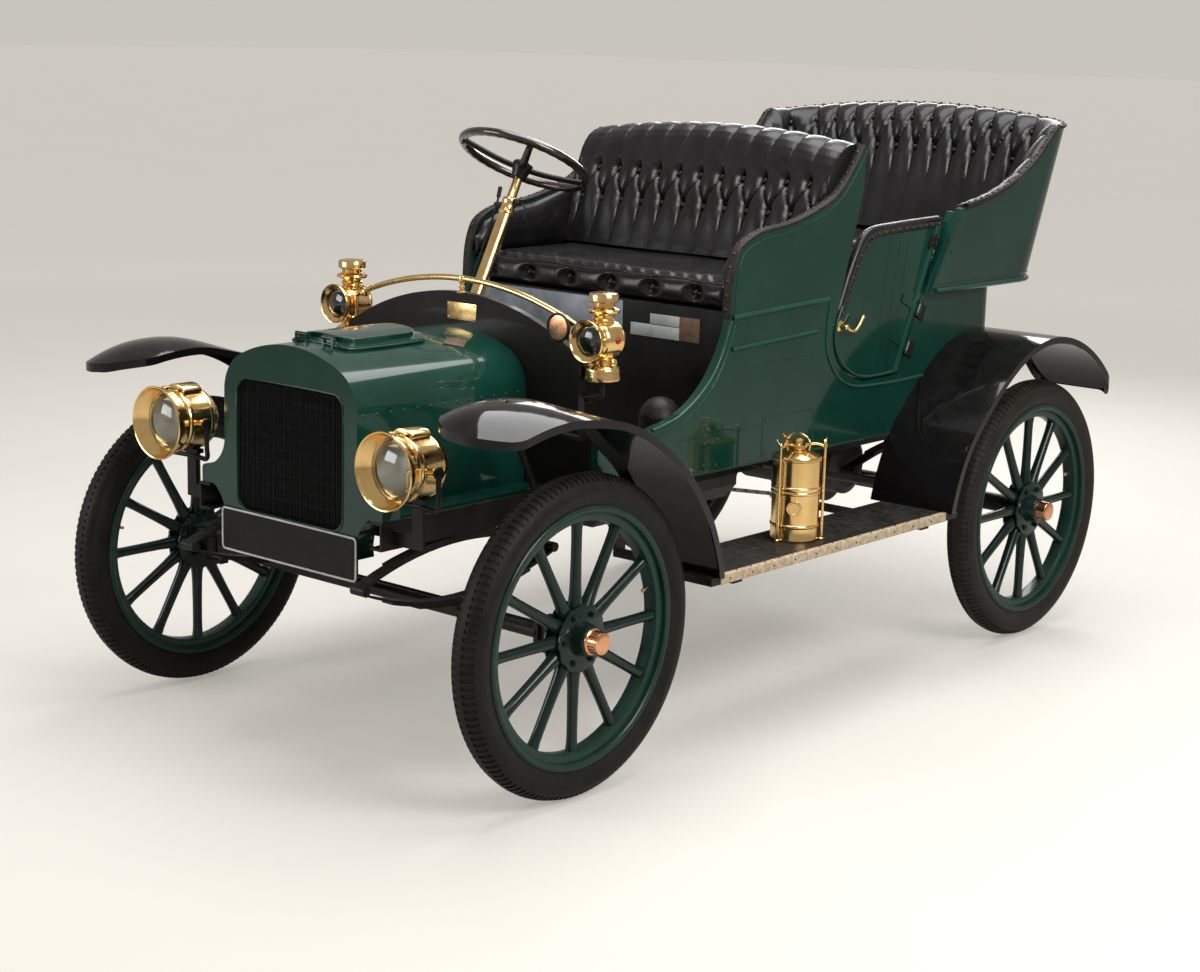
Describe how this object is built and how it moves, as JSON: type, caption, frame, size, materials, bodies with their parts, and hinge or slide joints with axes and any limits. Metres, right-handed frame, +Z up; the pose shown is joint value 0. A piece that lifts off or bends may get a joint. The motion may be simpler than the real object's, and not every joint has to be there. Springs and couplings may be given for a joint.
{
  "type": "brass era touring car",
  "caption": "Open side-entrance touring car of the first motoring years: tall spoked wheels, buttoned seats, arched hood, brass lamps, chain drive.",
  "frame": {"origin": "on the ground under the middle of the car", "axes": "+Z up, the car faces -Y, its left side is +X"},
  "size_m": [1.612, 3.0064, 1.612],
  "materials": {
    "body_green": "deep green coach enamel, polished",
    "chassis_black": "black enamel, satin",
    "fender_black": "black enamel, polished",
    "wheel_green": "very dark green enamel over wood",
    "tyre_rubber": "worn rubber",
    "brass": "polished",
    "lens": "clear",
    "leather": "black buttoned leather",
    "board_top": "boards under black covering",
    "floor_wood": "bare boards",
    "cast_iron": "oily",
    "chain_steel": "greased",
    "core_black": "matt black",
    "seat_board": "worn grey paint",
    "plate_black": "blank, black"
  },
  "bodies": {
    "chassis": {"frame": "chassis_black", "front_axle": "chassis_black", "springs": "chassis_black", "rear_axle": "chassis_black", "radius_rods": "chassis_black", "engine_block": "cast_iron", "muffler": "cast_iron", "drive_chain": "chain_steel", "radiator_shell": "body_green", "radiator_core": "core_black", "number_plate": "plate_black", "hood": "body_green", "hood_tank": "chassis_black", "dash": "chassis_black", "door_hinges": "chassis_black", "dash_rail": "brass", "headlamps": "brass", "side_lamps": "brass", "lamp_lenses": "lens", "lamp_brackets": "chassis_black", "front_fender_left": "fender_black", "front_fender_right": "fender_black", "rear_fender_left": "fender_black", "rear_fender_right": "fender_black", "running_boards": "board_top", "body_irons": "chassis_black", "gas_generator": "brass", "body_side_left": "body_green", "body_side_right": "body_green", "floor": "floor_wood", "front_seat_box": "seat_board", "seat_back_panel": "body_green", "front_cushion": "leather", "front_backrest": "leather", "front_arm_pads": "leather", "rear_tub": "body_green", "rear_body": "body_green", "rear_cushion": "leather", "rear_backrest": "leather", "steering_column": "brass", "floor_controls": "chassis_black"},
    "knuckle_left": {"knuckle_left": "chassis_black"},
    "knuckle_right": {"knuckle_right": "chassis_black"},
    "tie_rod": {"tie_rod": "chassis_black"},
    "wheel_front_left": {"wheel_front_left": "wheel_green", "tyre_front_left": "tyre_rubber"},
    "wheel_front_right": {"wheel_front_right": "wheel_green", "tyre_front_right": "tyre_rubber"},
    "wheel_rear_left": {"wheel_rear_left": "wheel_green", "tyre_rear_left": "tyre_rubber"},
    "wheel_rear_right": {"wheel_rear_right": "wheel_green", "tyre_rear_right": "tyre_rubber"},
    "door_left": {"door_left": "body_green"},
    "door_right": {"door_right": "body_green"},
    "hood_lid": {"hood_lid": "body_green"},
    "steering_wheel": {"steering_wheel": "chassis_black"}
  },
  "joints": [
    {"name": "steer_left", "type": "hinge", "parent": "chassis", "child": "knuckle_left", "pos_m": [0.636, -1.0968, 0.395], "axis": [0, 0, 1], "range_deg": [-32, 32]},
    {"name": "steer_right", "type": "hinge", "parent": "chassis", "child": "knuckle_right", "pos_m": [-0.636, -1.0968, 0.395], "axis": [0, 0, 1], "range_deg": [-32, 32]},
    {"name": "tie_rod_swing", "type": "hinge", "parent": "knuckle_left", "child": "tie_rod", "pos_m": [0.636, -0.9568, 0.362], "axis": [0, 0, 1], "range_deg": [-32, 32]},
    {"name": "steering_wheel_turn", "type": "hinge", "parent": "chassis", "child": "steering_wheel", "pos_m": [-0.26, -0.2558, 1.45], "axis": [0, 0.454, 0.891], "range_deg": [-128, 128]},
    {"name": "wheel_front_left_spin", "type": "hinge", "parent": "knuckle_left", "child": "wheel_front_left", "pos_m": [0.711, -1.0968, 0.4064], "axis": [1, 0, 0], "continuous": true},
    {"name": "wheel_front_right_spin", "type": "hinge", "parent": "knuckle_right", "child": "wheel_front_right", "pos_m": [-0.711, -1.0968, 0.4064], "axis": [1, 0, 0], "continuous": true},
    {"name": "wheel_rear_left_spin", "type": "hinge", "parent": "chassis", "child": "wheel_rear_left", "pos_m": [0.711, 1.0372, 0.4064], "axis": [1, 0, 0], "continuous": true},
    {"name": "wheel_rear_right_spin", "type": "hinge", "parent": "chassis", "child": "wheel_rear_right", "pos_m": [-0.711, 1.0372, 0.4064], "axis": [1, 0, 0], "continuous": true},
    {"name": "door_left_swing", "type": "hinge", "parent": "chassis", "child": "door_left", "pos_m": [0.5078, 0.66652, 1], "axis": [0, 0.4264, 0.9045], "range_deg": [0, 70]},
    {"name": "door_right_swing", "type": "hinge", "parent": "chassis", "child": "door_right", "pos_m": [-0.5078, 0.66652, 1], "axis": [0, -0.4264, -0.9045], "range_deg": [0, 70]},
    {"name": "hood_lid_open", "type": "hinge", "parent": "chassis", "child": "hood_lid", "pos_m": [0, -1.2918, 1.079], "axis": [1, 0, 0], "range_deg": [0, 95]}
  ],
  "couplings": [
    {"joint": "steer_right", "follows": "steer_left", "ratio": 1},
    {"joint": "tie_rod_swing", "follows": "steer_left", "ratio": -1},
    {"joint": "steering_wheel_turn", "follows": "steer_left", "ratio": 4}
  ]
}
